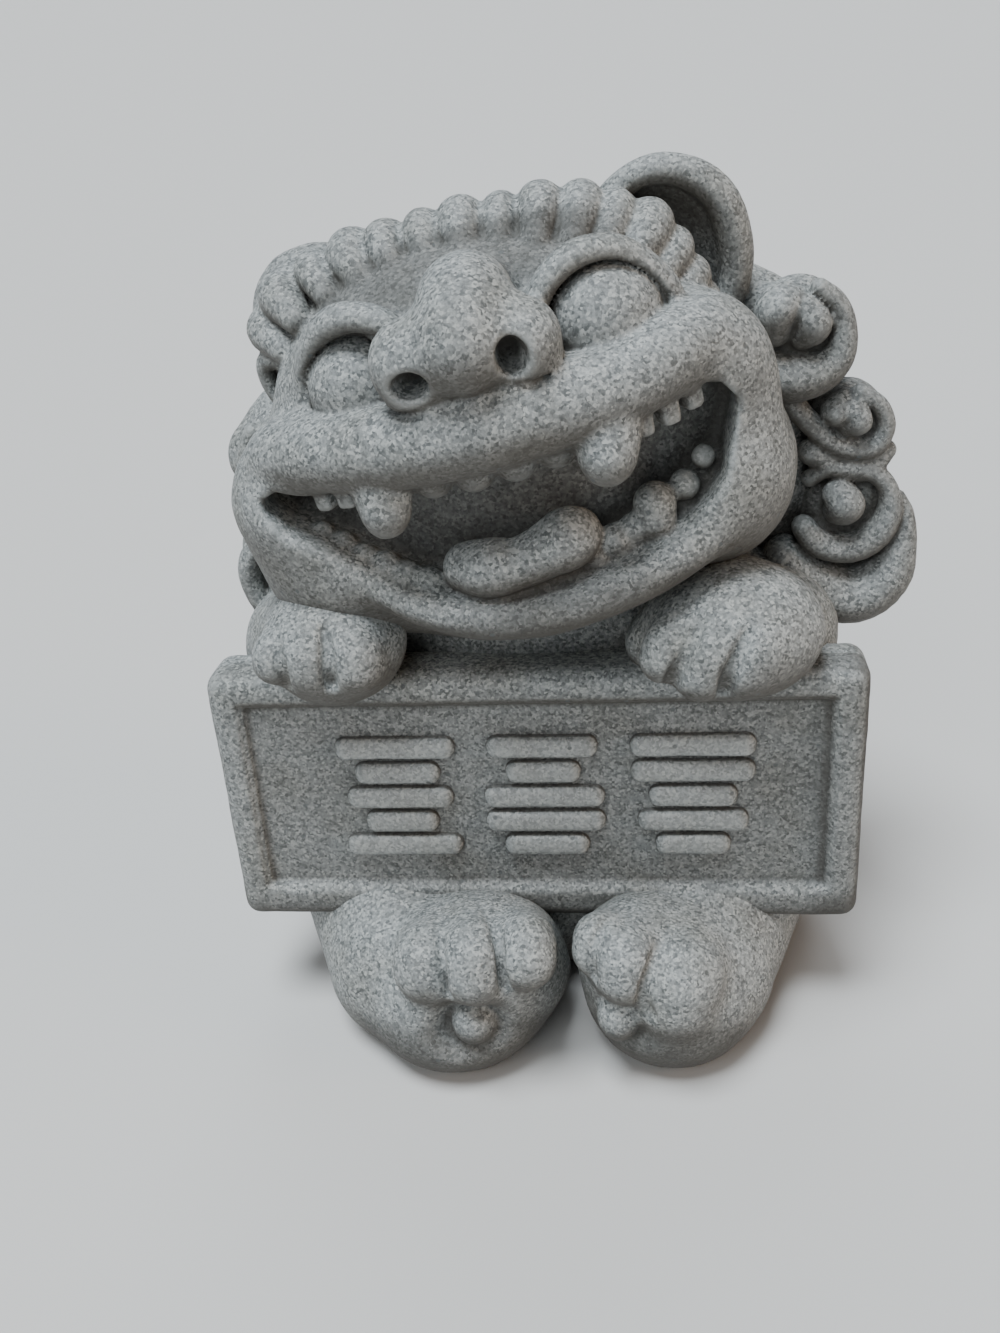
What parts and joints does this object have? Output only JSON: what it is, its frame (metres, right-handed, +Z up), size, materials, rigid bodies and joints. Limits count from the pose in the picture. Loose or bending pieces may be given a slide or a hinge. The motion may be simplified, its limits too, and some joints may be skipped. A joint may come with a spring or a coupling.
{
  "type": "lion figurine",
  "caption": "Seated guardian lion figurine with an open grin and curled mane, holding a bordered board with rows of raised strokes.",
  "frame": {"origin": "middle of the flat underside that the figurine stands on", "axes": "+Z up, +X to the viewer's right, -Y towards the viewer: the lion's face and the board look along -Y"},
  "size_m": [0.0922, 0.0735, 0.1077],
  "materials": {
    "cast_stone": "speckled blue-grey cast stone, matt, with darker dirt in the hollows"
  },
  "bodies": {
    "root": {"lion_with_board": "cast_stone"}
  },
  "joints": []
}
